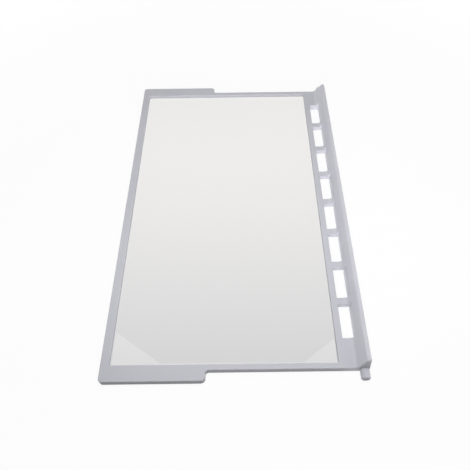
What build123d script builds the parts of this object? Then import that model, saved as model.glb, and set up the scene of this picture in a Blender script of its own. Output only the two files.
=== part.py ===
from build123d import *
import os
from math import cos, radians, sin, tan

# Fridge shelf: a glass pane caught all round in the groove of one moulded plastic frame.
# The frame is a raised rim with two side tabs at the front, and behind the pane a slotted
# strip, a rail that stands up as a back stop and a pin at each end of the rail.
# X runs along the width, Y from the front edge back to the rail, Z up from the underside.
# The origin is at the middle of the underside. All sizes are in millimetres.

# Pane, and the frame's section round it
glass_thickness = 3.2
glass_capture = 4.0          # how far the pane reaches into the frame on each side
glass_corner_radius = 4.0
glass_edge_chamfer = 0.4     # ground edge of the pane
rim_height = 4.0             # rim above the pane
lip_thickness = 1.8          # ledge below the pane
lip_reach = 2.0              # how far the ledge reaches in under the pane
lip_bevel = 1.2              # bevel along the ledge's lower inner edge

# Frame seen from above
overall_width = 475.0        # across the two front tabs
overall_depth = 289.1        # front edge to the back of the rail
front_bar_width = 9.8
end_bar_width = 6.4
rear_bar_width = 7.6
opening_corner_radius = 2.0
front_corner_radius = 4.0
tab_length = 113.3           # front edge to the rear end of a tab
tab_overhang = 11.5          # how far a tab stands out from the body
tab_corner_radius = 5.0      # rear corner of a tab
tab_root_radius = 3.5        # inside corner where a tab meets the body
outer_edge_radius = 0.8      # top edge round the outside
inner_edge_radius = 0.5      # top edge round the opening

# Vent slots in the rear strip
slot_count = 8
slot_width = 14.4
slot_corner_radius = 0.8
strip_end_width = 34.0       # end of the body to the nearest slot
crossbar_width = 8.8         # between two slots
crossbar_thickness = 6.1

# Rail behind the slots
rail_height = 15.8           # above the rim
rail_depth = 10.6            # from the slots' rear wall to the back
rail_slope = 60.0            # front face, degrees from level
rail_foot_radius = 6.0       # hollow curve where the strip turns up into the rail
rail_crown_radius = 3.0      # round curve into the top
rail_crown_flat = 2.6
rail_back_radius = 1.2
rail_draft = 2.4             # lean of the back, degrees
rail_end_upright = 3.0       # upright end wall above the pin
rail_end_inset = 2.8         # how far the end leans in from there to the rail's top
rail_end_radius = 1.0        # edge round the leaning ends
rail_end_block = 8.0         # solid length behind each pin

# Pins at the ends of the rail
pin_diameter = 10.2
pin_tip_diameter = 8.6
pin_length = 11.0            # out from the end of the body
pin_lead = 1.5               # length of the tapered lead-in
pin_tip_radius = 0.5
pin_axis_height = 5.3        # above the underside
pin_axis_inset = 5.4         # in from the back of the rail

# Cored underside
core_wall = 2.2
rib_thickness = 1.8
tab_rib_count = 3

# Levels
frame_thickness = lip_thickness + glass_thickness + rim_height
rail_top = frame_thickness + rail_height
lean_start = pin_axis_height + pin_diameter / 2 + rail_end_upright
core_top = frame_thickness - core_wall

# Lines across the width
tab_end = overall_width / 2
body_end = tab_end - tab_overhang
opening_width = 2 * (body_end - end_bar_width)
slots_end = body_end - strip_end_width
slot_pitch = (2 * slots_end + crossbar_width) / slot_count
slot_length = slot_pitch - crossbar_width
rail_end = body_end - rail_end_inset

# Lines along the depth, from the front edge to the back of the rail
front_y = -overall_depth / 2
back_y = overall_depth / 2
tab_rear_y = front_y + tab_length
opening_front_y = front_y + front_bar_width
rail_front_y = back_y - rail_depth
slot_front_y = rail_front_y - slot_width
opening_rear_y = slot_front_y - rear_bar_width
opening_depth = opening_rear_y - opening_front_y
opening_y = (opening_front_y + opening_rear_y) / 2
slot_y = (slot_front_y + rail_front_y) / 2


def block(x_range, y_range, z_range):
    """Box between two limits on each axis."""
    size = [high - low for low, high in (x_range, y_range, z_range)]
    middle = [(low + high) / 2 for low, high in (x_range, y_range, z_range)]
    return Pos(*middle) * Box(*size)


def both_ends(piece):
    """A piece and its mirror image at the other end of the shelf."""
    return piece + mirror(piece, about=Plane.YZ)


def glass_pane():
    """Pane with rounded corners and ground edges, reaching into the frame on every side."""
    width = opening_width + 2 * glass_capture
    depth = opening_depth + 2 * glass_capture
    outline = RectangleRounded(width, depth, glass_corner_radius)
    pane = Pos(0, opening_y, lip_thickness) * extrude(outline, glass_thickness)
    flat_faces = pane.faces().filter_by(Axis.Z)
    return chamfer(flat_faces.edges(), glass_edge_chamfer)


def body_outline():
    """Plan of the frame in front of the rail: the body with a tab at each side of its front."""
    corners = [
        (-tab_end, front_y),
        (tab_end, front_y),
        (tab_end, tab_rear_y),
        (body_end, tab_rear_y),
        (body_end, rail_front_y),
        (-body_end, rail_front_y),
        (-body_end, tab_rear_y),
        (-tab_end, tab_rear_y),
    ]
    plan = make_face(Polyline(*corners, close=True))
    rounds = (
        (tab_end, front_y, front_corner_radius),
        (tab_end, tab_rear_y, tab_corner_radius),
        (body_end, tab_rear_y, tab_root_radius),
    )
    for x, y, radius in rounds:
        pair = plan.vertices().filter_by(lambda v: Vector(abs(v.X), v.Y) == Vector(x, y))
        plan = fillet(pair, radius)
    return plan


def rim_plate():
    """Flat part of the frame at its full thickness, open over the pane, with its top edges rounded."""
    plate = extrude(body_outline(), frame_thickness)
    top_edges = plate.faces().sort_by(Axis.Z)[-1].edges()
    ahead_of_rail = [edge for edge in top_edges if edge.center().Y < slot_front_y]
    plate = fillet(ahead_of_rail, outer_edge_radius)
    opening = RectangleRounded(opening_width, opening_depth, opening_corner_radius)
    plate -= Pos(0, opening_y, 0) * extrude(opening, frame_thickness)
    inner = plate.faces().sort_by(Axis.Z)[-1].inner_wires()[0].edges()
    plate = fillet(inner, inner_edge_radius)
    setback = glass_capture - lip_reach
    lower_opening = RectangleRounded(
        opening_width + 2 * setback, opening_depth + 2 * setback, opening_corner_radius + setback
    )
    plate -= Pos(0, opening_y, 0) * extrude(lower_opening, lip_thickness)
    lower_inner = plate.faces().sort_by(Axis.Z)[0].inner_wires()[0].edges()
    return chamfer(lower_inner, lip_bevel)


def rail():
    """Rear rail: hollow foot curve, sloping front face, round crown, drafted back and leaning ends."""
    slope = radians(rail_slope)
    rise = 1 - cos(slope)
    top_y = back_y - rail_top * tan(radians(rail_draft))
    crown_end_y = top_y - rail_crown_flat
    crown_start = (crown_end_y - rail_crown_radius * sin(slope), rail_top - rail_crown_radius * rise)
    foot_end_z = frame_thickness + rail_foot_radius * rise
    foot_end = (crown_start[0] - (crown_start[1] - foot_end_z) / tan(slope), foot_end_z)
    foot_start = (foot_end[0] - rail_foot_radius * sin(slope), frame_thickness)
    seat_z = frame_thickness - crossbar_thickness / 2

    foot = TangentArc(foot_start, foot_end, tangent=(1, 0))
    face = Line(foot_end, crown_start)
    crown = TangentArc(crown_start, (crown_end_y, rail_top), tangent=(cos(slope), sin(slope)))
    rest = Polyline(
        (crown_end_y, rail_top),
        (top_y, rail_top),
        (back_y, 0),
        (rail_front_y, 0),
        (rail_front_y, seat_z),
        (foot_start[0], seat_z),
        foot_start,
    )
    section = make_face(foot + face + crown + rest)
    back_corner = section.vertices().filter_by(lambda v: Vector(v.X, v.Y) == Vector(top_y, rail_top))
    section = fillet(back_corner, min(rail_back_radius, rail_crown_flat))
    bar = extrude(Plane.YZ * section, body_end, both=True)
    ends = make_face(
        Polyline(
            (-body_end, 0),
            (body_end, 0),
            (body_end, lean_start),
            (rail_end, rail_top),
            (-rail_end, rail_top),
            (-body_end, lean_start),
            close=True,
        )
    )
    bar &= extrude(Plane.XZ * ends, overall_depth, both=True)
    for end in (0, -1):
        upper_faces = bar.faces().filter_by(lambda face: face.center().Z > lean_start)
        leaning_face = upper_faces.sort_by(Axis.X)[end]
        crown_edges = [e for e in leaning_face.edges() if e.center().Z > rail_top - rail_crown_radius]
        bar = fillet(crown_edges, rail_end_radius)

    inner_y = rail_front_y + core_wall
    inner_back_y = top_y - core_wall
    inner_top = rail_top - core_wall
    near_face = (foot_end[0] + core_wall * sin(slope), foot_end[1] - core_wall * cos(slope))
    shoulder_z = near_face[1] + (inner_y - near_face[0]) * tan(slope)
    ridge_y = near_face[0] + (inner_top - near_face[1]) / tan(slope)
    hollow = make_face(
        Polyline(
            (inner_y, 0),
            (inner_y, shoulder_z),
            (ridge_y, inner_top),
            (inner_back_y, inner_top),
            (inner_back_y, 0),
            close=True,
        )
    )
    for low, high in rail_bays():
        bar -= extrude(Plane.YZ.offset(low) * hollow, high - low)
    return bar


def rail_bays():
    """Stretches of the hollow rail along X, with a rib behind each crossbar between them."""
    limit = rail_end - rail_end_block
    ribs = [(k - (slot_count - 2) / 2) * slot_pitch for k in range(slot_count - 1)]
    starts = [-limit] + [x + rib_thickness / 2 for x in ribs]
    stops = [x - rib_thickness / 2 for x in ribs] + [limit]
    return list(zip(starts, stops))


def slots():
    """Vent slots through the strip, right up past the rail's foot."""
    outline = RectangleRounded(slot_length, slot_width, slot_corner_radius)
    hole = extrude(outline, rail_top)
    places = [(k - (slot_count - 1) / 2) * slot_pitch for k in range(slot_count)]
    return [Pos(x, slot_y, 0) * hole for x in places]


def underside_cores():
    """Pockets below the tabs, the strip's ends and the crossbars, so that no wall is thick."""
    cores = []
    tab_front = front_y + core_wall
    bay = (tab_length - 2 * core_wall + rib_thickness) / (tab_rib_count + 1)
    for k in range(tab_rib_count + 1):
        start = tab_front + k * bay
        pocket = block((body_end, tab_end - core_wall), (start, start + bay - rib_thickness), (0, core_top))
        cores.append(both_ends(pocket))
    strip_end = block(
        (slots_end + core_wall, body_end - core_wall),
        (slot_front_y + core_wall, rail_front_y - core_wall),
        (0, core_top),
    )
    cores.append(both_ends(strip_end))
    relief = (0, frame_thickness - crossbar_thickness)
    cores.append(block((-slots_end, slots_end), (slot_front_y, rail_front_y), relief))
    return cores


def pin():
    """Pin at the +X end of the rail, rooted in the rail's end block, with a tapered lead-in."""
    axis = Plane.YZ * Pos(back_y - pin_axis_inset, pin_axis_height)
    root_x = rail_end - rail_end_block / 2
    shoulder_x = body_end + pin_length - pin_lead
    shaft = Pos(root_x, 0, 0) * extrude(axis * Circle(pin_diameter / 2), shoulder_x - root_x)
    lead = Pos(shoulder_x, 0, 0) * axis * Pos(0, 0, pin_lead / 2) * Cone(
        pin_diameter / 2, pin_tip_diameter / 2, pin_lead
    )
    tip = lead.edges().sort_by(Axis.X)[-1]
    return shaft + fillet(tip, pin_tip_radius)


def shelf_frame(pane):
    """Whole moulding, with its groove shaped by the pane."""
    frame = rim_plate() + rail()
    for hole in slots():
        frame -= hole
    for core in underside_cores():
        frame -= core
    frame += both_ends(pin())
    return frame - pane


glass = glass_pane()
parts = {
    "glass_pane": glass,
    "shelf_frame": shelf_frame(glass),
}

os.makedirs("parts", exist_ok=True)
for name, shape in parts.items():
    export_step(shape, f"parts/{name}.step")
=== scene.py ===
from math import cos, radians, sin, tan
from types import SimpleNamespace

import bmesh
import bpy
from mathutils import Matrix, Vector


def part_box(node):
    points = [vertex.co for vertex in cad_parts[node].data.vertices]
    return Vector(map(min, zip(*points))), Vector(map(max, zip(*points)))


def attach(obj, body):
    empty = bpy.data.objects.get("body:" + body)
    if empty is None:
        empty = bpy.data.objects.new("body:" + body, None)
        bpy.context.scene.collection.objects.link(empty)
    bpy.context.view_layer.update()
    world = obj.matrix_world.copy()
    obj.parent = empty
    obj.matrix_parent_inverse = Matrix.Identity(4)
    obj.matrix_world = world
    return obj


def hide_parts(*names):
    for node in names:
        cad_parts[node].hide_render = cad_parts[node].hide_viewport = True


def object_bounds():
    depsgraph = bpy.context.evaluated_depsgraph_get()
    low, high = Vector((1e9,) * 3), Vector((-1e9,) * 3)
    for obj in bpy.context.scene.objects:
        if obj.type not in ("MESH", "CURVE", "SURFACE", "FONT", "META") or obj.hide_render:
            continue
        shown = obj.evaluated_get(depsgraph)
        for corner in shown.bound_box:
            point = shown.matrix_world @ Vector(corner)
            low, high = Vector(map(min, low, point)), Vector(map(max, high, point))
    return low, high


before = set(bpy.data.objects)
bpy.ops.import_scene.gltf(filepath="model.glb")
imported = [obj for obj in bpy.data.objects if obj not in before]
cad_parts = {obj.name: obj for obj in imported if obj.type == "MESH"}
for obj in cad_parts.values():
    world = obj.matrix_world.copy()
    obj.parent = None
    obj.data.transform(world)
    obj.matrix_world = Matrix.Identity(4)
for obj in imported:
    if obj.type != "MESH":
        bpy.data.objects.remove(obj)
CAD_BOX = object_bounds()
PANE_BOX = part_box("glass_pane")

bl_info = {
    "name": "Fridge Glass Shelf",
    "version": (1, 0, 0),
    "blender": (4, 5, 0),
    "location": "3D View > Sidebar > Shelf",
    "description": "Builds a fridge shelf: a glass pane in a moulded frame with vent slots, a rail and pins",
    "category": "Object",
}

MM = 0.001
QUARTER = radians(90)
LAP = 1.0 * MM  # how far a solid reaches past the face that it cuts or joins
SEAM = 0.0001 * MM  # points of one solid that are closer than this are the same point
SLIVER = 0.001 * MM  # points closer than this are merged after the cuts

CORNER_STEPS = 8  # straight pieces in a rounded corner
SLOT_CORNER_STEPS = 5
PIN_SIDES = 48
TIP_STEPS = 5  # straight pieces in the rounding of a pin's tip
TIP_START = 0.3  # share of a quarter turn at which that rounding leaves the tapered lead-in
EDGE_STEPS = 3  # faces across a rounded edge
LEAST_ROUNDED = radians(29)  # flatter edges aren't rounded
LEAST_SHARP = radians(24)  # flatter edges are shaded smooth
TOP_MARGIN = 0.2 * MM  # how far below the rim's top an edge still counts as one of its edges
NODE_ROWS = 12  # nodes in one column of a tree
NODE_ROOM = Vector((240, -220))  # from one column and row of nodes to the next

WHITE = (1.0, 1.0, 1.0, 1.0)
SENSOR_WIDTH = 36.0  # of the camera, in millimetres
SHADOW_SHARE = 0.08  # how much of the floor's look comes from the light on it
CARD_OUTLINE = (  # the dark card from above, in metres; past its slanting sides the pane stays pale
    (-0.115, -0.256),
    (-0.115, 0.210),
    (-0.36, 0.535),
    (-1.7, 0.535),
    (-1.7, -0.61),
    (-0.36, -0.61),
)


def length(name, description, default):
    """Length in metres, shown in the scene's units."""
    return bpy.props.FloatProperty(
        name=name, description=description, default=default, min=0.0, precision=4, unit="LENGTH"
    )


def angle(name, description, degrees):
    """Angle, shown in degrees."""
    return bpy.props.FloatProperty(
        name=name, description=description, default=radians(degrees), min=0.0, unit="ROTATION"
    )


def amount(name, description, default):
    """Plain number from 0 up."""
    return bpy.props.FloatProperty(name=name, description=description, default=default, min=0.0)


def watts(name, description, default):
    """Power of a lamp."""
    return bpy.props.FloatProperty(name=name, description=description, default=default, min=0.0, unit="POWER")


def count(name, description, default, least):
    """Number of like features."""
    return bpy.props.IntProperty(name=name, description=description, default=default, min=least)


def tint(name, description, default):
    """Colour with alpha."""
    return bpy.props.FloatVectorProperty(
        name=name, description=description, default=default, size=4, min=0.0, max=1.0, subtype="COLOR"
    )


def position(name, description, default):
    """Place in the shelf's frame, in metres."""
    return bpy.props.FloatVectorProperty(
        name=name, description=description, default=default, subtype="XYZ", unit="LENGTH"
    )


class ShelfSizes(bpy.types.PropertyGroup):
    """Sizes of the frame and the pane. The overall ones are the CAD model's."""

    width: length("Width", "Across the two front tabs", CAD_BOX[1][0] - CAD_BOX[0][0])
    depth: length("Depth", "Front edge to the back of the rail", CAD_BOX[1][1] - CAD_BOX[0][1])
    pane_low: length("Pane Underside", "Level of the pane's underside", PANE_BOX[0][2])
    pane_high: length("Pane Top", "Level of the pane's top", PANE_BOX[1][2])
    pane_corner: length("Pane Corner", "Corner radius of the pane", 4.0 * MM)
    pane_chamfer: length("Ground Edge", "Chamfer ground along the pane's edges", 0.4 * MM)
    pane_play: length("Pane Play", "Gap between the pane and its groove", 0.03 * MM)
    capture: length("Capture", "How far the pane reaches into the frame on each side", 4.0 * MM)
    ledge_reach: length("Ledge Reach", "How far the ledge reaches in under the pane", 2.0 * MM)
    ledge_bevel: length("Ledge Bevel", "Bevel along the ledge's lower inner edge", 1.2 * MM)
    rim_height: length("Rim Height", "Rim above the pane", 4.0 * MM)

    front_bar: length("Front Bar", "Width of the front bar", 9.8 * MM)
    end_bar: length("End Bar", "Width of each end bar", 6.4 * MM)
    rear_bar: length("Rear Bar", "Width of the bar between the pane and the slots", 7.6 * MM)
    opening_corner: length("Opening Corner", "Corner radius round the pane", 2.0 * MM)
    front_corner: length("Front Corner", "Corner radius at the front", 4.0 * MM)
    tab_length: length("Tab Length", "Front edge to the rear end of a tab", 113.3 * MM)
    tab_overhang: length("Tab Overhang", "How far a tab stands out from the body", 11.5 * MM)
    tab_corner: length("Tab Corner", "Radius of a tab's rear corner", 5.0 * MM)
    tab_root: length("Tab Root", "Inside radius where a tab meets the body", 3.5 * MM)
    outer_edge: length("Outer Edge", "Rounding of the edges round the outside", 0.8 * MM)
    inner_edge: length("Inner Edge", "Rounding of the edges round the openings", 0.5 * MM)

    slot_count: count("Slots", "Vent slots in the rear strip", 8, least=2)
    slot_width: length("Slot Width", "Width of a slot from front to back", 14.4 * MM)
    slot_corner: length("Slot Corner", "Corner radius of a slot", 0.8 * MM)
    strip_end: length("Strip End", "End of the body to the nearest slot", 34.0 * MM)
    crossbar_width: length("Crossbar Width", "Between two slots", 8.8 * MM)
    crossbar_thickness: length("Crossbar Thickness", "Thickness between two slots", 6.1 * MM)

    rail_height: length("Rail Height", "Rail above the rim", 15.8 * MM)
    rail_depth: length("Rail Depth", "From the slots' rear wall to the back", 10.6 * MM)
    rail_slope: angle("Rail Slope", "Front face of the rail, from level", 60.0)
    rail_foot: length("Rail Foot", "Radius of the curve from the strip up into the rail", 6.0 * MM)
    rail_crown: length("Rail Crown", "Radius of the curve into the rail's top", 3.0 * MM)
    rail_flat: length("Rail Flat", "Flat on top of the rail", 2.6 * MM)
    rail_back: length("Rail Back", "Radius of the rail's rear top edge", 1.2 * MM)
    rail_draft: angle("Rail Draft", "Lean of the rail's back", 2.4)
    end_upright: length("End Upright", "Upright end wall above a pin", 3.0 * MM)
    end_inset: length("End Inset", "How far the rail's ends lean in at the top", 2.8 * MM)
    end_block: length("End Block", "Solid length of rail behind each pin", 8.0 * MM)

    pin_diameter: length("Pin Diameter", "Diameter of a pin", 10.2 * MM)
    pin_tip: length("Pin Tip", "Diameter of a pin's tip", 8.6 * MM)
    pin_length: length("Pin Length", "Pin out from the end of the body", 11.0 * MM)
    pin_lead: length("Pin Lead", "Length of a pin's tapered lead-in", 1.5 * MM)
    pin_round: length("Pin Round", "Rounding of a pin's tip", 0.5 * MM)
    pin_height: length("Pin Height", "Axis of a pin above the underside", 5.3 * MM)
    pin_inset: length("Pin Inset", "Axis of a pin in from the back", 5.4 * MM)

    core_wall: length("Core Wall", "Wall round the pockets in the underside", 2.2 * MM)
    rib: length("Rib", "Thickness of the ribs in the underside", 1.8 * MM)
    tab_ribs: count("Tab Ribs", "Ribs under each tab", 3, least=0)


class ShelfColours(bpy.types.PropertyGroup):
    """Colours of the two materials."""

    plastic: tint("Plastic", "Colour of the moulded frame", (0.56, 0.56, 0.61, 1.0))
    glass: tint("Glass", "Tint of the pane", (0.95, 0.95, 0.95, 1.0))


class ShelfStage(bpy.types.PropertyGroup):
    """Floor, light and camera."""

    floor_size: length("Floor Size", "Edge of the square floor", 6.0)
    floor_drop: length("Floor Drop", "Floor below the shelf's underside", 0.2 * MM)
    # Painted light: how strongly the floor below the slots glows up onto their walls
    painted_slot_glow: amount("Slot Glow", "Light that the floor below the slots throws up", 0.65)
    fill_round: amount("Fill Light Round", "Strength of the light from level all round", 2.2)
    fill_fall: amount("Fill Light Fall", "How fast that light fades with height", 2.0)
    top_power: watts("Top Lamp Power", "Lamp above the near end", 2.7)
    top_size: length("Top Lamp Size", "Diameter of the lamp above", 0.32)
    top_place: position("Top Lamp Place", "Where the lamp above hangs", (0.14, 0.04, 0.62))
    front_power: watts("Front Lamp Power", "Lamp behind the camera", 28.0)
    front_size: length("Front Lamp Size", "Diameter of the lamp behind the camera", 0.75)
    front_place: position("Front Lamp Place", "Where the lamp behind the camera stands", (2.2, -0.2, 0.55))
    flag_distance: length("Flag Distance", "From the middle to the dark flags", 0.42)
    flag_height: length("Flag Height", "Height of the low flag past the near end", 0.094)
    flag_reach: length("Flag Reach", "From the middle to that flag's end on the rail's side", 0.6)
    side_flag_height: length("Side Flag Height", "Height of the flag along the front edge", 0.28)
    side_flag_start: length("Side Flag Start", "How far that flag reaches past the middle", 0.2)
    card_height: length("Card Height", "Level of the dark card that the pane mirrors", 0.98)
    camera_place: position("Camera Place", "Where the camera stands", (0.3844, 0.00851, 0.49756))
    camera_turn: bpy.props.FloatVectorProperty(
        name="Camera Turn",
        description="Camera's Euler angles",
        subtype="EULER",
        unit="ROTATION",
        default=(radians(34.371), radians(0.463), radians(89.419)),
    )
    camera_lens: amount("Focal Length", "Lens in millimetres on a 36 mm sensor", 35.454)
    camera_shift: bpy.props.FloatVectorProperty(
        name="Camera Shift",
        description="Offset of the picture's centre, as a share of its width",
        size=2,
        default=(-0.01129, -0.00341),
    )


def shelf_lines(sizes):
    """Levels and lines that the pieces share, worked out from the sizes."""
    line = SimpleNamespace()
    line.top = sizes.pane_high + sizes.rim_height
    line.rail_top = line.top + sizes.rail_height
    line.lean_start = sizes.pin_height + sizes.pin_diameter / 2 + sizes.end_upright
    line.core_top = line.top - sizes.core_wall

    line.tab_end = sizes.width / 2
    line.body_end = line.tab_end - sizes.tab_overhang
    line.opening_width = 2 * (line.body_end - sizes.end_bar)
    line.slots_end = line.body_end - sizes.strip_end
    line.slot_pitch = (2 * line.slots_end + sizes.crossbar_width) / sizes.slot_count
    line.slot_length = line.slot_pitch - sizes.crossbar_width
    line.first_slot = -(sizes.slot_count - 1) / 2 * line.slot_pitch
    line.first_bar = -(sizes.slot_count - 2) / 2 * line.slot_pitch
    line.rail_end = line.body_end - sizes.end_inset

    line.front = -sizes.depth / 2
    line.back = sizes.depth / 2
    line.tab_rear = line.front + sizes.tab_length
    line.rail_front = line.back - sizes.rail_depth
    line.slot_front = line.rail_front - sizes.slot_width
    line.slot_middle = (line.slot_front + line.rail_front) / 2
    opening_front = line.front + sizes.front_bar
    opening_rear = line.slot_front - sizes.rear_bar
    line.opening_depth = opening_rear - opening_front
    line.opening_middle = (opening_front + opening_rear) / 2
    line.pane_width = line.opening_width + 2 * sizes.capture
    line.pane_depth = line.opening_depth + 2 * sizes.capture
    return line


class NodeTree:
    """A node tree that is filled node by node, column by column."""

    def __init__(self, tree):
        self.tree = tree

    def node(self, kind, inputs, **options):
        """New node with its options set and its inputs set or linked; gives the first output."""
        node = self.tree.nodes.new(kind)
        column, row = divmod(len(self.tree.nodes), NODE_ROWS)
        node.location = (column * NODE_ROOM.x, row * NODE_ROOM.y)
        for option, value in options.items():
            setattr(node, option, value)
        for key, value in inputs.items():
            for item in value if isinstance(value, list) else [value]:
                if isinstance(item, bpy.types.NodeSocket):
                    self.tree.links.new(item, node.inputs[key])
                else:
                    node.inputs[key].default_value = item
        return node.outputs[0] if node.outputs else None

    def split(self, vector):
        """The three parts of a vector."""
        return self.node("ShaderNodeSeparateXYZ", {"Vector": vector}).node.outputs

    def math(self, operation, *values):
        """Arithmetic on numbers."""
        return self.node("ShaderNodeMath", dict(enumerate(values)), operation=operation)


INPUT_KINDS = {
    int: "NodeSocketInt",
    float: "NodeSocketFloat",
    tuple: "NodeSocketVector",
    bpy.types.Object: "NodeSocketObject",
    bpy.types.Material: "NodeSocketMaterial",
}


class SolidNodes(NodeTree):
    """A Geometry Nodes tree that builds one solid, with its sizes as named inputs."""

    def __init__(self, name):
        super().__init__(bpy.data.node_groups.new(name, "GeometryNodeTree"))
        self.tree.interface.new_socket("Geometry", in_out="OUTPUT", socket_type="NodeSocketGeometry")
        self.given = self.tree.nodes.new("NodeGroupInput")
        self.values = {}

    def size(self, name, value):
        """New named input of the tree."""
        socket = self.tree.interface.new_socket(name, in_out="INPUT", socket_type=INPUT_KINDS[type(value)])
        self.values[socket.identifier] = value
        return self.given.outputs[name]

    def compare(self, operation, first, second):
        """Comparison of two numbers."""
        return self.node("FunctionNodeCompare", {0: first, 1: second}, data_type="FLOAT", operation=operation)

    def rounded(self, curve, radius, steps):
        """Flat curve with its corners rounded."""
        return self.node(
            "GeometryNodeFilletCurve",
            {"Curve": curve, "Count": steps, "Radius": radius, "Limit Radius": True},
            mode="POLY",
        )

    def outline(self, outlines, number):
        """One spline of the outlines, its corners rounded by the radius that each point holds."""
        picked = self.node(
            "FunctionNodeCompare",
            {2: self.node("GeometryNodeInputIndex", {}), 3: number},
            data_type="INT",
            operation="EQUAL",
        )
        curve = self.node(
            "GeometryNodeSeparateGeometry", {"Geometry": outlines, "Selection": picked}, domain="CURVE"
        )
        return self.rounded(curve, self.node("GeometryNodeInputRadius", {}), CORNER_STEPS)

    def rectangle(self, name, width, depth, corner, steps=CORNER_STEPS):
        """Rounded rectangle."""
        sides = {"Width": self.size(f"{name} Width", width), "Height": self.size(f"{name} Depth", depth)}
        curve = self.node("GeometryNodeCurvePrimitiveQuadrilateral", sides)
        return self.rounded(curve, self.size(f"{name} Corner", corner), steps)

    def prism(self, name, curve, height, place=(0.0, 0.0, 0.0), turn=(0.0, 0.0, 0.0)):
        """Solid that stands on a closed flat curve, then is turned and put in its place."""
        foot = self.node("GeometryNodeFillCurve", {"Curve": curve}, mode="NGONS")
        walls = self.node(
            "GeometryNodeExtrudeMesh",
            {
                "Mesh": foot,
                "Offset": (0.0, 0.0, 1.0),
                "Offset Scale": self.size(f"{name} Height", height),
                "Individual": False,
            },
            mode="FACES",
        )
        under = self.node("GeometryNodeFlipFaces", {"Mesh": foot})
        both = self.node("GeometryNodeJoinGeometry", {"Geometry": [walls, under]})
        solid = self.node("GeometryNodeMergeByDistance", {"Geometry": both, "Distance": SEAM})
        return self.node(
            "GeometryNodeTransform",
            {"Geometry": solid, "Translation": self.size(f"{name} Place", place), "Rotation": turn},
        )

    def funnel(self, name, width, depth, corner, height, place):
        """Solid on a rounded rectangle, its walls leaning in from the bottom by as much as they rise."""
        solid = self.prism(name, self.rectangle(name, width, depth, corner), height)
        here = self.node("GeometryNodeInputPosition", {})
        centres = self.size(f"{name} Corner Centres", (width / 2 - corner, depth / 2 - corner, height))
        opposite = self.node("ShaderNodeVectorMath", {0: centres, "Scale": -1.0}, operation="SCALE")
        held = self.node("ShaderNodeVectorMath", {0: here, 1: centres}, operation="MINIMUM")
        held = self.node("ShaderNodeVectorMath", {0: held, 1: opposite}, operation="MAXIMUM")
        outward = self.node("ShaderNodeVectorMath", {0: here, 1: held}, operation="SUBTRACT")
        outward = self.node("ShaderNodeVectorMath", {0: outward}, operation="NORMALIZE")
        shift = self.node("ShaderNodeVectorMath", {0: outward, "Scale": -height}, operation="SCALE")
        upper = self.compare("GREATER_THAN", self.split(here)["Z"], height / 2)
        solid = self.node(
            "GeometryNodeSetPosition", {"Geometry": solid, "Selection": upper, "Offset": shift}
        )
        return self.node("GeometryNodeTransform", {"Geometry": solid, "Translation": place})

    def block(self, name, x, y, z):
        """Box between two limits on each axis."""
        size = tuple(high - low for low, high in (x, y, z))
        middle = tuple((low + high) / 2 for low, high in (x, y, z))
        cube = self.node("GeometryNodeMeshCube", {"Size": self.size(f"{name} Size", size)})
        return self.node(
            "GeometryNodeTransform", {"Geometry": cube, "Translation": self.size(f"{name} Place", middle)}
        )

    def row(self, name, solid, number, start, step):
        """Copies of a solid in a straight row."""
        points = self.node(
            "GeometryNodeMeshLine",
            {
                "Count": self.size(f"{name} Count", number),
                "Start Location": self.size(f"{name} Start", start),
                "Offset": self.size(f"{name} Step", step),
            },
        )
        copies = self.node("GeometryNodeInstanceOnPoints", {"Points": points, "Instance": solid})
        return self.node("GeometryNodeRealizeInstances", {"Geometry": copies})

    def both_ends(self, solid):
        """A solid and its mirror image at the other end of the shelf."""
        image = self.node("GeometryNodeTransform", {"Geometry": solid, "Scale": (-1.0, 1.0, 1.0)})
        image = self.node("GeometryNodeFlipFaces", {"Mesh": image})
        return self.node("GeometryNodeJoinGeometry", {"Geometry": [solid, image]})

    def combine(self, operation, solids):
        """One solid from several."""
        return self.node("GeometryNodeMeshBoolean", solids, operation=operation, solver="MANIFOLD")

    def cut(self, solid, tool):
        """A solid less another."""
        return self.combine("DIFFERENCE", {"Mesh 1": solid, "Mesh 2": tool})

    def fuse(self, *solids):
        """Solids made one."""
        return self.combine("UNION", {"Mesh 2": list(solids)})

    def common(self, *solids):
        """What solids have in common."""
        return self.combine("INTERSECT", {"Mesh 2": list(solids)})

    def finish(self, solid, material):
        """End the tree with a plain mesh of one material."""
        real = self.node("GeometryNodeRealizeInstances", {"Geometry": solid})
        dressed = self.node(
            "GeometryNodeSetMaterial", {"Geometry": real, "Material": self.size("Material", material)}
        )
        self.node("NodeGroupOutput", {"Geometry": dressed})

    def mesh_object(self, name):
        """New object with the tree's result as its plain mesh."""
        piece = bpy.data.objects.new(name, bpy.data.meshes.new(name))
        bpy.context.scene.collection.objects.link(piece)
        modifier = piece.modifiers.new(name, "NODES")
        modifier.node_group = self.tree
        for identifier, value in self.values.items():
            modifier[identifier] = value
        bpy.context.view_layer.update()
        graph = bpy.context.evaluated_depsgraph_get()
        result = piece.evaluated_get(graph)
        mesh = bpy.data.meshes.new_from_object(result, preserve_all_data_layers=True, depsgraph=graph)
        piece.modifiers.remove(modifier)
        if not mesh.polygons:
            raise RuntimeError(f"the tree of {name} gave no faces")
        piece.data = mesh
        mesh.name = name
        return piece


PLAN, RAIL_SECTION, RAIL_HOLLOW, RAIL_END, PIN_LINE = range(5)


def add_spline(data, points, closed):
    """Add a spline of straight runs through points that each give a place and a radius."""
    spline = data.splines.new("POLY")
    spline.points.add(len(points) - 1)
    for point, (x, y, z, radius) in zip(spline.points, points):
        point.co = (x, y, z, 1)
        point.radius = radius
    spline.use_cyclic_u = closed


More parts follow.
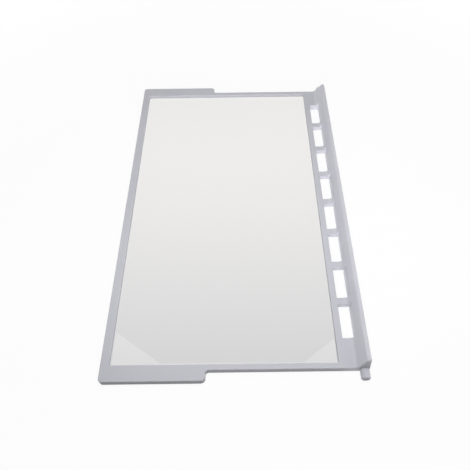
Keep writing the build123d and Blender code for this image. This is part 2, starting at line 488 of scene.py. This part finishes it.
def frame_outlines(sizes, line):
    """Curve object with the frame's outlines: corner points that each hold their radius."""
    slope = sizes.rail_slope
    crown_end = line.back - line.rail_top * tan(sizes.rail_draft)
    crown_corner = crown_end - sizes.rail_flat - sizes.rail_crown * tan(slope / 2)
    foot_corner = crown_corner - sizes.rail_height / tan(slope)
    foot_start = foot_corner - sizes.rail_foot * tan(slope / 2)
    seat = line.top - sizes.crossbar_thickness / 2
    plan = [
        (-line.tab_end, line.front, sizes.front_corner),
        (line.tab_end, line.front, sizes.front_corner),
        (line.tab_end, line.tab_rear, sizes.tab_corner),
        (line.body_end, line.tab_rear, sizes.tab_root),
        (line.body_end, line.back + LAP, 0),
        (-line.body_end, line.back + LAP, 0),
        (-line.body_end, line.tab_rear, sizes.tab_root),
        (-line.tab_end, line.tab_rear, sizes.tab_corner),
    ]
    rail_section = [
        (foot_start, line.top, 0),
        (foot_corner, line.top, sizes.rail_foot),
        (crown_corner, line.rail_top, sizes.rail_crown),
        (crown_end, line.rail_top, sizes.rail_back),
        (line.back, 0, 0),
        (line.rail_front, 0, 0),
        (line.rail_front, seat, 0),
        (foot_start, seat, 0),
    ]
    inner_front = line.rail_front + sizes.core_wall
    inner_back = crown_end - sizes.core_wall
    inner_top = line.rail_top - sizes.core_wall
    inner_face = foot_corner + sizes.core_wall / sin(slope)
    rail_hollow = [
        (inner_front, -LAP, 0),
        (inner_front, line.top + (inner_front - inner_face) * tan(slope), 0),
        (inner_face + (inner_top - line.top) / tan(slope), inner_top, 0),
        (inner_back, inner_top, 0),
        (inner_back, -LAP, 0),
    ]
    lean = sizes.end_inset / (line.rail_top - line.lean_start)
    rail_end = [
        (line.body_end, line.lean_start, 0),
        (line.body_end + LAP, line.lean_start, 0),
        (line.body_end + LAP, line.rail_top + LAP, 0),
        (line.rail_end - LAP * lean, line.rail_top + LAP, 0),
    ]
    data = bpy.data.curves.new("frame_outlines", "CURVE")
    data.dimensions = "3D"
    for corners in (plan, rail_section, rail_hollow, rail_end):
        add_spline(data, [(across, up, 0, radius) for across, up, radius in corners], closed=True)
    pin_axis = line.back - sizes.pin_inset
    pin_line = [(x, pin_axis, sizes.pin_height, radius) for x, radius in pin_stations(sizes, line)]
    add_spline(data, pin_line, closed=False)
    outlines = bpy.data.objects.new("frame_outlines", data)
    bpy.context.scene.collection.objects.link(outlines)
    return outlines


def pin_stations(sizes, line):
    """Places along a pin and its radius there, from its root in the rail to its rounded tip."""
    tip_end = line.body_end + sizes.pin_length
    lead_start = tip_end - sizes.pin_lead
    stations = [
        (line.rail_end - sizes.end_block / 2, sizes.pin_diameter / 2),
        (lead_start, sizes.pin_diameter / 2),
    ]
    for step in range(TIP_STEPS + 1):
        turn = QUARTER * (TIP_START + (1 - TIP_START) * step / TIP_STEPS)
        x = tip_end - sizes.pin_round * (1 - sin(turn))
        stations.append((x, sizes.pin_tip / 2 - sizes.pin_round * (1 - cos(turn))))
    return stations


def along_rail(nodes, name, curve, reach):
    """Solid that runs along the rail with one section, as far on both sides of the middle."""
    return nodes.prism(name, curve, 2 * reach, place=(-reach, 0.0, 0.0), turn=(QUARTER, 0.0, QUARTER))


def frame_blank(nodes, outlines, sizes, line):
    """Plate and rail in one, trimmed to the plan and to the rail's leaning ends."""
    reach = line.tab_end + LAP
    plate = nodes.block("Plate", (-reach, reach), (line.front - LAP, line.rail_front + LAP), (0.0, line.top))
    rail = along_rail(nodes, "Rail", nodes.outline(outlines, RAIL_SECTION), reach)
    plan = nodes.prism(
        "Plan", nodes.outline(outlines, PLAN), line.rail_top + 2 * LAP, place=(0.0, 0.0, -LAP)
    )
    tip = nodes.prism(
        "Rail End",
        nodes.outline(outlines, RAIL_END),
        sizes.depth,
        place=(0.0, line.back + LAP, 0.0),
        turn=(QUARTER, 0.0, 0.0),
    )
    return nodes.cut(nodes.common(nodes.fuse(plate, rail), plan), nodes.both_ends(tip))


def cut_pane_seat(nodes, solid, sizes, line):
    """Cut the opening over the pane, the wider one below its ledge, its groove and the ledge's bevel."""
    setback = sizes.capture - sizes.ledge_reach
    openings = (
        ("Opening", 0.0, sizes.opening_corner, -LAP, line.top + LAP),
        ("Ledge", setback, sizes.opening_corner + setback, -LAP, sizes.pane_low + LAP),
        ("Groove", sizes.capture, sizes.pane_corner, sizes.pane_low, sizes.pane_high),
    )
    for name, wider, corner, low, high in openings:
        curve = nodes.rectangle(name, line.opening_width + 2 * wider, line.opening_depth + 2 * wider, corner)
        solid = nodes.cut(solid, nodes.prism(name, curve, high - low, place=(0.0, line.opening_middle, low)))
    flare = setback + sizes.ledge_bevel + LAP
    bevel = nodes.funnel(
        "Ledge Bevel",
        line.opening_width + 2 * flare,
        line.opening_depth + 2 * flare,
        sizes.opening_corner + flare,
        sizes.ledge_bevel + 2 * LAP,
        (0.0, line.opening_middle, -LAP),
    )
    return nodes.cut(solid, bevel)


def cut_slots(nodes, solid, sizes, line):
    """Cut the row of vent slots, and below the crossbars between them the space that thins these."""
    step = (line.slot_pitch, 0.0, 0.0)
    hole = nodes.rectangle("Slot", line.slot_length, sizes.slot_width, sizes.slot_corner, SLOT_CORNER_STEPS)
    slot = nodes.prism("Slot", hole, line.rail_top)
    start = (line.first_slot, line.slot_middle, -LAP)
    solid = nodes.cut(solid, nodes.row("Slots", slot, sizes.slot_count, start, step))
    across = sizes.crossbar_width / 2 + LAP
    along = sizes.slot_width / 2 + LAP / 2
    relief = nodes.block(
        "Relief", (-across, across), (-along, along), (-LAP, line.top - sizes.crossbar_thickness)
    )
    start = (line.first_bar, line.slot_middle, 0.0)
    return nodes.cut(solid, nodes.row("Reliefs", relief, sizes.slot_count - 1, start, step))


def cut_pockets(nodes, solid, sizes, line):
    """Cut the pockets below the tabs and the ends of the strip."""
    bay = (sizes.tab_length - 2 * sizes.core_wall + sizes.rib) / (sizes.tab_ribs + 1)
    pocket = nodes.block(
        "Tab Pocket",
        (line.body_end, line.tab_end - sizes.core_wall),
        (0.0, bay - sizes.rib),
        (-LAP, line.core_top),
    )
    start = (0.0, line.front + sizes.core_wall, 0.0)
    pockets = nodes.row("Tab Pockets", pocket, sizes.tab_ribs + 1, start, (0.0, bay, 0.0))
    solid = nodes.cut(solid, nodes.both_ends(pockets))
    strip_pocket = nodes.block(
        "Strip Pocket",
        (line.slots_end + sizes.core_wall, line.body_end - sizes.core_wall),
        (line.slot_front + sizes.core_wall, line.rail_front - sizes.core_wall),
        (-LAP, line.core_top),
    )
    return nodes.cut(solid, nodes.both_ends(strip_pocket))


def cut_rail_hollow(nodes, solid, outlines, sizes, line):
    """Cut the hollow of the rail, leaving a rib behind each crossbar."""
    limit = line.rail_end - sizes.end_block
    hollow = along_rail(nodes, "Rail Hollow", nodes.outline(outlines, RAIL_HOLLOW), limit)
    half = sizes.rib / 2
    rib = nodes.block("Rail Rib", (-half, half), (line.rail_front, line.back), (-2 * LAP, line.rail_top))
    start = (line.first_bar, 0.0, 0.0)
    ribs = nodes.row("Rail Ribs", rib, sizes.slot_count - 1, start, (line.slot_pitch, 0.0, 0.0))
    return nodes.cut(solid, nodes.cut(hollow, ribs))


def add_pins(nodes, solid, outlines):
    """Fuse a pin to each end of the rail."""
    ring = nodes.node("GeometryNodeCurvePrimitiveCircle", {"Resolution": PIN_SIDES, "Radius": 1.0})
    pin = nodes.node(
        "GeometryNodeCurveToMesh",
        {
            "Curve": nodes.outline(outlines, PIN_LINE),
            "Profile Curve": ring,
            "Scale": nodes.node("GeometryNodeInputRadius", {}),
            "Fill Caps": True,
        },
    )
    return nodes.fuse(solid, nodes.both_ends(pin))


def weigh_edges(nodes, solid, sizes, line):
    """Weigh the edges to round: the outward ones on top, and most of all those round the outside."""
    bend = nodes.node("GeometryNodeInputMeshEdgeAngle", {}).node.outputs["Signed Angle"]
    outward = nodes.compare("GREATER_THAN", bend, nodes.size("Least Edge Angle", LEAST_ROUNDED))
    here = nodes.split(nodes.node("GeometryNodeInputPosition", {}))
    on_top = nodes.compare("GREATER_THAN", here["Z"], nodes.size("Least Edge Level", line.top - TOP_MARGIN))
    picked = nodes.node("FunctionNodeBooleanMath", {0: outward, 1: on_top}, operation="AND")
    end_line = nodes.size("Outer Edge Reach", line.rail_end - LAP)
    at_ends = nodes.compare("GREATER_THAN", nodes.math("ABSOLUTE", here["X"]), end_line)
    front_line = nodes.size("Front Edge Line", line.front + sizes.outer_edge)
    at_front = nodes.compare("LESS_THAN", here["Y"], front_line)
    outside = nodes.node("FunctionNodeBooleanMath", {0: at_ends, 1: at_front}, operation="OR")
    inner_share = nodes.size("Inner Edge Share", sizes.inner_edge / sizes.outer_edge)
    weight = nodes.node(
        "GeometryNodeSwitch", {"Switch": outside, "False": inner_share, "True": 1.0}, input_type="FLOAT"
    )
    return nodes.node(
        "GeometryNodeStoreNamedAttribute",
        {"Geometry": solid, "Selection": picked, "Name": "bevel_weight_edge", "Value": weight},
        data_type="FLOAT",
        domain="EDGE",
    )


def frame_tree(sizes, line, outlines_object, material):
    """Geometry Nodes tree of the moulding: plate and rail, less the openings and pockets, with the pins."""
    nodes = SolidNodes("Moulded frame")
    outlines = nodes.node("GeometryNodeObjectInfo", {"Object": nodes.size("Outlines", outlines_object)})
    outlines = outlines.node.outputs["Geometry"]
    solid = frame_blank(nodes, outlines, sizes, line)
    solid = cut_pane_seat(nodes, solid, sizes, line)
    solid = cut_slots(nodes, solid, sizes, line)
    solid = cut_pockets(nodes, solid, sizes, line)
    solid = cut_rail_hollow(nodes, solid, outlines, sizes, line)
    solid = add_pins(nodes, solid, outlines)
    solid = nodes.node("GeometryNodeMergeByDistance", {"Geometry": solid, "Distance": SLIVER})
    nodes.finish(weigh_edges(nodes, solid, sizes, line), material)
    return nodes


def round_edges(piece, sizes):
    """Round the weighed edges, and shade the flats flat and the curves smooth."""
    for face in piece.data.polygons:
        face.use_smooth = True
    rounding = piece.modifiers.new("Edge rounding", "BEVEL")
    rounding.limit_method = "WEIGHT"
    rounding.width = sizes.outer_edge
    rounding.segments = EDGE_STEPS
    rounding.use_clamp_overlap = False
    rounding.loop_slide = False
    piece.data.set_sharp_from_angle(angle=LEAST_SHARP)
    weights = piece.modifiers.new("Flat faces", "WEIGHTED_NORMAL")
    weights.keep_sharp = True


def rounded_rectangle(width, depth, corner):
    """Points round a rectangle with round corners, anticlockwise."""
    points = []
    for quarter, (side, end) in enumerate(((1, 1), (-1, 1), (-1, -1), (1, -1))):
        for step in range(CORNER_STEPS + 1):
            turn = (quarter + step / CORNER_STEPS) * QUARTER
            x = side * (width / 2 - corner) + corner * cos(turn)
            y = end * (depth / 2 - corner) + corner * sin(turn)
            points.append((x, y))
    return points


def pane_mesh(sizes, line):
    """Mesh of the pane: a rounded rectangle with its edges ground to a chamfer all round."""
    width = line.pane_width - 2 * sizes.pane_play
    depth = line.pane_depth - 2 * sizes.pane_play
    low = sizes.pane_low + sizes.pane_play
    high = sizes.pane_high - sizes.pane_play
    chamfer = sizes.pane_chamfer
    shape = bmesh.new()
    rings = []
    for level, inset in ((low, chamfer), (low + chamfer, 0.0), (high - chamfer, 0.0), (high, chamfer)):
        points = rounded_rectangle(width - 2 * inset, depth - 2 * inset, sizes.pane_corner - inset)
        rings.append([shape.verts.new((x, y + line.opening_middle, level)) for x, y in points])
    shape.faces.new(list(reversed(rings[0])))
    shape.faces.new(rings[-1])
    for lower, upper in zip(rings, rings[1:]):
        for k in range(len(lower)):
            shape.faces.new((lower[k - 1], lower[k], upper[k], upper[k - 1]))
    mesh = bpy.data.meshes.new("pane")
    shape.to_mesh(mesh)
    shape.free()
    return mesh


class FinishNodes(NodeTree):
    """The shader nodes of a material or of the world."""

    def __init__(self, owner):
        owner.use_nodes = True
        super().__init__(owner.node_tree)
        self.tree.nodes.clear()

    def source(self, kind, name):
        """One output of a node that takes no inputs."""
        return self.node(kind, {}).node.outputs[name]

    def noise(self, vector, scale, detail):
        """Soft noise, from 0 to 1."""
        return self.node("ShaderNodeTexNoise", {"Vector": vector, "Scale": scale, "Detail": detail})

    def graded(self, value, start, end, first, last):
        """Number that goes from first to last while a value goes from start to end."""
        return self.node(
            "ShaderNodeMapRange",
            {"Value": value, "From Min": start, "From Max": end, "To Min": first, "To Max": last},
        )

    def tones(self, value, start, end, first, last):
        """Colour that goes from first to last while a value goes from start to end."""
        ramp = self.node("ShaderNodeValToRGB", {"Fac": value})
        low, high = ramp.node.color_ramp.elements
        low.position, high.position = start, end
        low.color, high.color = first, last
        return ramp

    def diffuse(self, colour):
        """Dull surface."""
        return self.node("ShaderNodeBsdfDiffuse", {"Color": colour})

    def emission(self, colour, strength=1.0):
        """Surface that shines; white of strength 1 is the picture's white."""
        return self.node("ShaderNodeEmission", {"Color": colour, "Strength": strength})

    def background(self, strength):
        """White light from all round."""
        return self.node("ShaderNodeBackground", {"Color": WHITE, "Strength": strength})

    def mix(self, share, first, second):
        """First shader at a share of 0, second at 1."""
        return self.node("ShaderNodeMixShader", {0: share, 1: first, 2: second})

    def finish(self, shader, output="ShaderNodeOutputMaterial"):
        """End the nodes with their shader."""
        self.node(output, {"Surface": shader})


def grey(level):
    """Grey of one level."""
    return (level, level, level, 1.0)


def tinted(colour, shares):
    """A colour with its red, green and blue each multiplied by a share."""
    return (*(channel * share for channel, share in zip(colour, shares)), 1.0)


def plastic_material(colours):
    """Satin moulded plastic: a fine grain, with a little change of tone and gloss over the moulding."""
    material = bpy.data.materials.new("satin_plastic")
    nodes = FinishNodes(material)
    here = nodes.source("ShaderNodeTexCoord", "Object")
    darker = tinted(colours.plastic, (0.97, 0.97, 0.972))
    lighter = tinted(colours.plastic, (1.03, 1.03, 1.025))
    clouds = nodes.noise(here, scale=18.0, detail=3.0)
    patches = nodes.noise(here, scale=60.0, detail=2.0)
    grain = nodes.noise(here, scale=2600.0, detail=1.0)
    bump = nodes.node("ShaderNodeBump", {"Strength": 0.18, "Distance": 0.03 * MM, "Height": grain})
    shader = nodes.node(
        "ShaderNodeBsdfPrincipled",
        {
            "Base Color": nodes.tones(clouds, start=0.3, end=0.7, first=darker, last=lighter),
            "Roughness": nodes.graded(patches, start=0.0, end=1.0, first=0.42, last=0.54),
            "Normal": bump,
        },
    )
    nodes.finish(shader)
    return material


def glass_material(colours):
    """Clear float glass, with a faint change of tint and with matt ground edges."""
    material = bpy.data.materials.new("clear_pane")
    nodes = FinishNodes(material)
    here = nodes.source("ShaderNodeTexCoord", "Object")
    darker = tinted(colours.glass, (0.996, 0.998, 0.996))
    lighter = tinted(colours.glass, (1.004, 1.002, 1.004))
    streaks = nodes.noise(here, scale=6.0, detail=2.0)
    facing = nodes.split(nodes.source("ShaderNodeNewGeometry", "Normal"))
    level = nodes.math("ABSOLUTE", facing["Z"])
    shader = nodes.node(
        "ShaderNodeBsdfPrincipled",
        {
            "Base Color": nodes.tones(streaks, start=0.3, end=0.7, first=darker, last=lighter),
            "Roughness": nodes.graded(level, start=0.8, end=0.95, first=0.5, last=0.0),
            "IOR": 1.5,
            "Transmission Weight": 1.0,
        },
    )
    light_shadow = (0.84, 0.85, 0.84, 1.0)
    clear = nodes.node("ShaderNodeBsdfTransparent", {"Color": light_shadow})
    nodes.finish(nodes.mix(nodes.source("ShaderNodeLightPath", "Is Shadow Ray"), shader, clear))
    return material


def floor_material(settings, slot_middle, slot_width):
    """White floor to the eye, with painted shade where it is seen through the pane; what it throws on the
    shelf is duller, with painted shade past the near end and painted light below the slots.
    """
    material = bpy.data.materials.new("white_floor")
    nodes = FinishNodes(material)
    here = nodes.source("ShaderNodeTexCoord", "Object")
    x, y, _ = nodes.split(here)

    # Seen directly or in a mirror: white, with the shelf's shadow close to it
    away = nodes.node("ShaderNodeVectorMath", {0: here}, operation="LENGTH").node.outputs["Value"]
    shadow = nodes.graded(away, start=0.3, end=0.65, first=SHADOW_SHARE, last=0.0)
    seen = nodes.mix(shadow, nodes.emission(WHITE), nodes.diffuse(grey(0.95)))

    # Seen through the pane: painted shade, greyer towards the near end, and there the faster
    bend = 1.7
    far_painted_shade = (1.0, 0.99, 0.975, 1.0)
    near_painted_shade = (0.76, 0.755, 0.765, 1.0)
    nearness = nodes.graded(x, start=-0.12, end=0.22, first=0.0, last=1.0)
    nearness = nodes.math("POWER", nearness, bend)
    tone = nodes.tones(nearness, start=0.0, end=1.0, first=far_painted_shade, last=near_painted_shade)
    through = nodes.mix(SHADOW_SHARE, nodes.emission(tone), nodes.diffuse(tone))

    # Thrown on the shelf: dull, with painted shade past the near end, where the floor goes dark, and painted
    # light glowing up below the slots
    # Painted shade: past the near end the floor throws back almost no light
    dull = nodes.diffuse(nodes.graded(x, start=0.2, end=0.26, first=0.9, last=0.05))
    # Painted light: the floor below the slots glows, for bounced light only
    apart = nodes.math("ABSOLUTE", nodes.math("SUBTRACT", y, slot_middle))
    full, faded = 0.4 * slot_width, 0.7 * slot_width
    glow = nodes.graded(apart, start=full, end=faded, first=settings.painted_slot_glow, last=0.0)
    thrown = nodes.node("ShaderNodeAddShader", {0: dull, 1: nodes.emission(WHITE, glow)})

    path = nodes.node("ShaderNodeLightPath", {}).node.outputs
    plain = nodes.mix(path["Is Transmission Ray"], seen, through)
    nodes.finish(nodes.mix(path["Diffuse Depth"], plain, thrown))
    return material


def card_material():
    """Dark grey card."""
    material = bpy.data.materials.new("dark_card")
    nodes = FinishNodes(material)
    nodes.finish(nodes.emission(WHITE, strength=0.2))
    return material


def flag_material():
    """Black cloth."""
    material = bpy.data.materials.new("black_cloth")
    nodes = FinishNodes(material)
    nodes.finish(nodes.node("ShaderNodeBsdfPrincipled", {"Base Color": grey(0.02), "Roughness": 1.0}))
    return material


def studio_world(settings):
    """White studio to the eye, in mirrors and through glass, and a soft fill light on the shelf."""
    world = bpy.data.worlds.new("studio")
    nodes = FinishNodes(world)
    height = nodes.split(nodes.source("ShaderNodeTexCoord", "Generated"))["Z"]
    band = nodes.math("POWER", nodes.math("SUBTRACT", 1.0, height), settings.fill_fall)
    fill = nodes.background(nodes.math("MULTIPLY", band, settings.fill_round))
    depth = nodes.source("ShaderNodeLightPath", "Diffuse Depth")
    nodes.finish(nodes.mix(depth, nodes.background(1.0), fill), "ShaderNodeOutputWorld")
    return world


def flat_sheet(name, corners, material, hidden_from=()):
    """Flat sheet of the stage, with the kinds of ray that don't see it."""
    mesh = bpy.data.meshes.new(name)
    mesh.from_pydata(corners, [], [range(len(corners))])
    mesh.materials.append(material)
    sheet = bpy.data.objects.new(name, mesh)
    for ray in hidden_from:
        setattr(sheet, f"visible_{ray}", False)
    bpy.context.scene.collection.objects.link(sheet)


def add_floor(settings, sizes):
    """Square floor just below the shelf."""
    half, level = settings.floor_size / 2, -settings.floor_drop
    corners = [(-half, -half, level), (half, -half, level), (half, half, level), (-half, half, level)]
    flat_sheet("floor", corners, floor_material(settings, shelf_lines(sizes).slot_middle, sizes.slot_width))


def add_card(settings):
    """Level card above the far end, which the pane mirrors as a slight darkening."""
    corners = [(x, y, settings.card_height) for x, y in CARD_OUTLINE]
    flat_sheet("dark_card", corners, card_material(), ("camera", "diffuse", "volume_scatter", "shadow"))


def add_flags(settings):
    """Upright flags that keep the low light off the near end and off the rail's front."""
    ahead, aside = settings.flag_distance, -settings.flag_distance
    runs = (
        ("front_flag", (ahead, aside), (ahead, settings.flag_reach), settings.flag_height),
        ("side_flag", (-settings.side_flag_start, aside), (ahead, aside), settings.side_flag_height),
    )
    for name, start, end, height in runs:
        corners = [(*start, 0.0), (*end, 0.0), (*end, height), (*start, height)]
        flat_sheet(name, corners, flag_material(), ("camera", "glossy", "transmission"))


def add_lamp(name, place, target, size, power):
    """Round area lamp aimed at a place, and kept out of the pane's mirror image."""
    data = bpy.data.lights.new(name, "AREA")
    data.shape = "DISK"
    data.size = size
    data.energy = power
    lamp = bpy.data.objects.new(name, data)
    lamp.location = place
    lamp.rotation_euler = (place - target).to_track_quat("Z", "Y").to_euler()
    lamp.visible_glossy = False
    lamp.visible_transmission = False
    bpy.context.scene.collection.objects.link(lamp)


def add_lamps(settings):
    """Lamp straight above the near end, and one that shines along the shelf from behind the camera."""
    below = Vector((settings.top_place[0], settings.top_place[1], 0.0))
    middle = Vector((0.0, 0.0, 0.0))
    add_lamp("top_lamp", settings.top_place, below, settings.top_size, settings.top_power)
    add_lamp("front_lamp", settings.front_place, middle, settings.front_size, settings.front_power)


def add_camera(settings):
    """Camera at the photograph's viewing angle."""
    data = bpy.data.cameras.new("camera")
    data.sensor_width = SENSOR_WIDTH
    data.lens = settings.camera_lens
    data.shift_x, data.shift_y = settings.camera_shift
    camera = bpy.data.objects.new("camera", data)
    camera.location = settings.camera_place
    camera.rotation_euler = settings.camera_turn
    bpy.context.scene.collection.objects.link(camera)
    bpy.context.scene.camera = camera


class SHELF_OT_frame(bpy.types.Operator):
    """Build the moulded frame"""

    bl_idname = "shelf.frame"
    bl_label = "Moulded Frame"

    def execute(self, context):
        sizes = context.scene.shelf_sizes
        line = shelf_lines(sizes)
        outlines = frame_outlines(sizes, line)
        material = plastic_material(context.scene.shelf_colours)
        piece = frame_tree(sizes, line, outlines, material).mesh_object("moulded_frame")
        bpy.data.objects.remove(outlines)
        round_edges(piece, sizes)
        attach(piece, "root")
        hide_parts("shelf_frame")
        return {"FINISHED"}


class SHELF_OT_pane(bpy.types.Operator):
    """Build the glass pane"""

    bl_idname = "shelf.pane"
    bl_label = "Glass Pane"

    def execute(self, context):
        sizes = context.scene.shelf_sizes
        mesh = pane_mesh(sizes, shelf_lines(sizes))
        mesh.materials.append(glass_material(context.scene.shelf_colours))
        piece = bpy.data.objects.new("pane", mesh)
        context.scene.collection.objects.link(piece)
        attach(piece, "root")
        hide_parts("glass_pane")
        return {"FINISHED"}


class SHELF_OT_stage(bpy.types.Operator):
    """Set up the floor, light and camera"""

    bl_idname = "shelf.stage"
    bl_label = "Stage"

    def execute(self, context):
        scene = context.scene
        settings = scene.shelf_stage
        scene.view_settings.view_transform = "Standard"
        scene.world = studio_world(settings)
        add_floor(settings, scene.shelf_sizes)
        add_card(settings)
        add_flags(settings)
        add_lamps(settings)
        add_camera(settings)
        return {"FINISHED"}


class SHELF_PT_panel(bpy.types.Panel):
    """Sidebar panel with the shelf's operators"""

    bl_idname = "SHELF_PT_panel"
    bl_label = "Fridge Glass Shelf"
    bl_space_type = "VIEW_3D"
    bl_region_type = "UI"
    bl_category = "Shelf"

    def draw(self, context):
        for operator in (SHELF_OT_frame, SHELF_OT_pane, SHELF_OT_stage):
            self.layout.operator(operator.bl_idname)


SETTINGS = {"shelf_sizes": ShelfSizes, "shelf_colours": ShelfColours, "shelf_stage": ShelfStage}
CLASSES = (*SETTINGS.values(), SHELF_OT_frame, SHELF_OT_pane, SHELF_OT_stage, SHELF_PT_panel)


def register():
    """Register the classes and hang the settings on the scene."""
    for cls in CLASSES:
        bpy.utils.register_class(cls)
    for name, group in SETTINGS.items():
        setattr(bpy.types.Scene, name, bpy.props.PointerProperty(type=group))


def unregister():
    """Undo register."""
    for name in SETTINGS:
        delattr(bpy.types.Scene, name)
    for cls in reversed(CLASSES):
        bpy.utils.unregister_class(cls)


def main():
    """Build the shelf on its stage."""
    register()
    bpy.ops.shelf.frame()
    bpy.ops.shelf.pane()
    bpy.ops.shelf.stage()


if __name__ == "__main__":
    main()
